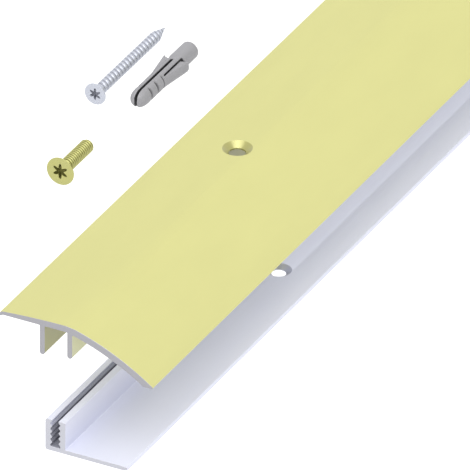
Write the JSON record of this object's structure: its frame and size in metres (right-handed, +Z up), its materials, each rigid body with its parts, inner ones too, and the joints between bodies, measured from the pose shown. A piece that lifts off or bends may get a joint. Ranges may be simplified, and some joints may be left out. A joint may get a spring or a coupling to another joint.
{
  "type": "adjustable threshold strip",
  "caption": "Two-part floor threshold strip: a slotted base profile, a cover profile with a ramp and a flat wing, and countersunk screws and wall plugs, shown exploded.",
  "frame": {"origin": "on the base profile's underside, below the middle of the toothed slot, halfway along the strip", "axes": "+Z up, away from the floor; +X across the strip, down the ramp towards the lower floor; +Y along the strip, right-handed with the other two"},
  "size_m": [0.1044, 1, 0.0382],
  "materials": {
    "natural_aluminium": "natural silver anodised extrusion, satin",
    "yellow_aluminium": "pale yellow anodised extrusion, satin",
    "yellow_zinc": "steel, yellow passivated zinc plate, semi-bright",
    "bright_zinc": "steel, bright zinc plate, semi-bright",
    "grey_nylon": "moulded grey nylon, matte"
  },
  "bodies": {
    "base": {"base_profile": "natural_aluminium"},
    "cover": {"cover_profile": "yellow_aluminium"},
    "cover_screw_1_body": {"cover_screw_1": "yellow_zinc"},
    "cover_screw_2_body": {"cover_screw_2": "yellow_zinc"},
    "cover_screw_3_body": {"cover_screw_3": "yellow_zinc"},
    "cover_screw_4_body": {"cover_screw_4": "yellow_zinc"},
    "cover_screw_5_body": {"cover_screw_5": "yellow_zinc"},
    "base_screw_1_body": {"base_screw_1": "bright_zinc"},
    "base_screw_2_body": {"base_screw_2": "bright_zinc"},
    "base_screw_3_body": {"base_screw_3": "bright_zinc"},
    "base_screw_4_body": {"base_screw_4": "bright_zinc"},
    "base_screw_5_body": {"base_screw_5": "bright_zinc"},
    "wall_plug_1_body": {"wall_plug_1": "grey_nylon"},
    "wall_plug_2_body": {"wall_plug_2": "grey_nylon"},
    "wall_plug_3_body": {"wall_plug_3": "grey_nylon"},
    "wall_plug_4_body": {"wall_plug_4": "grey_nylon"},
    "wall_plug_5_body": {"wall_plug_5": "grey_nylon"}
  },
  "joints": [
    {"name": "cover_lift", "type": "slide", "parent": "base", "child": "cover", "axis": [0, 0, 1], "range_m": [-0.0262, 0]},
    {"name": "cover_screw_1_spin", "type": "hinge", "parent": "base", "child": "cover_screw_1_body", "pos_m": [-0.0619, -0.381, 0.004], "axis": [0, -1, 0], "continuous": true},
    {"name": "cover_screw_2_spin", "type": "hinge", "parent": "base", "child": "cover_screw_2_body", "pos_m": [-0.0619, -0.181, 0.004], "axis": [0, -1, 0], "continuous": true},
    {"name": "cover_screw_3_spin", "type": "hinge", "parent": "base", "child": "cover_screw_3_body", "pos_m": [-0.0619, 0.019, 0.004], "axis": [0, -1, 0], "continuous": true},
    {"name": "cover_screw_4_spin", "type": "hinge", "parent": "base", "child": "cover_screw_4_body", "pos_m": [-0.0619, 0.219, 0.004], "axis": [0, -1, 0], "continuous": true},
    {"name": "cover_screw_5_spin", "type": "hinge", "parent": "base", "child": "cover_screw_5_body", "pos_m": [-0.0619, 0.419, 0.004], "axis": [0, -1, 0], "continuous": true},
    {"name": "base_screw_1_spin", "type": "hinge", "parent": "base", "child": "base_screw_1_body", "pos_m": [-0.0733, -0.3401, 0.0031], "axis": [0, -1, 0], "continuous": true},
    {"name": "base_screw_2_spin", "type": "hinge", "parent": "base", "child": "base_screw_2_body", "pos_m": [-0.0733, -0.1401, 0.0031], "axis": [0, -1, 0], "continuous": true},
    {"name": "base_screw_3_spin", "type": "hinge", "parent": "base", "child": "base_screw_3_body", "pos_m": [-0.0733, 0.0599, 0.0031], "axis": [0, -1, 0], "continuous": true},
    {"name": "base_screw_4_spin", "type": "hinge", "parent": "base", "child": "base_screw_4_body", "pos_m": [-0.0733, 0.2599, 0.0031], "axis": [0, -1, 0], "continuous": true},
    {"name": "base_screw_5_spin", "type": "hinge", "parent": "base", "child": "base_screw_5_body", "pos_m": [-0.0733, 0.4599, 0.0031], "axis": [0, -1, 0], "continuous": true},
    {"name": "wall_plug_1_lift", "type": "slide", "parent": "base", "child": "wall_plug_1_body", "axis": [0, 0, 1], "range_m": [0, 0.02]},
    {"name": "wall_plug_2_lift", "type": "slide", "parent": "base", "child": "wall_plug_2_body", "axis": [0, 0, 1], "range_m": [0, 0.02]},
    {"name": "wall_plug_3_lift", "type": "slide", "parent": "base", "child": "wall_plug_3_body", "axis": [0, 0, 1], "range_m": [0, 0.02]},
    {"name": "wall_plug_4_lift", "type": "slide", "parent": "base", "child": "wall_plug_4_body", "axis": [0, 0, 1], "range_m": [0, 0.02]},
    {"name": "wall_plug_5_lift", "type": "slide", "parent": "base", "child": "wall_plug_5_body", "axis": [0, 0, 1], "range_m": [0, 0.02]}
  ]
}
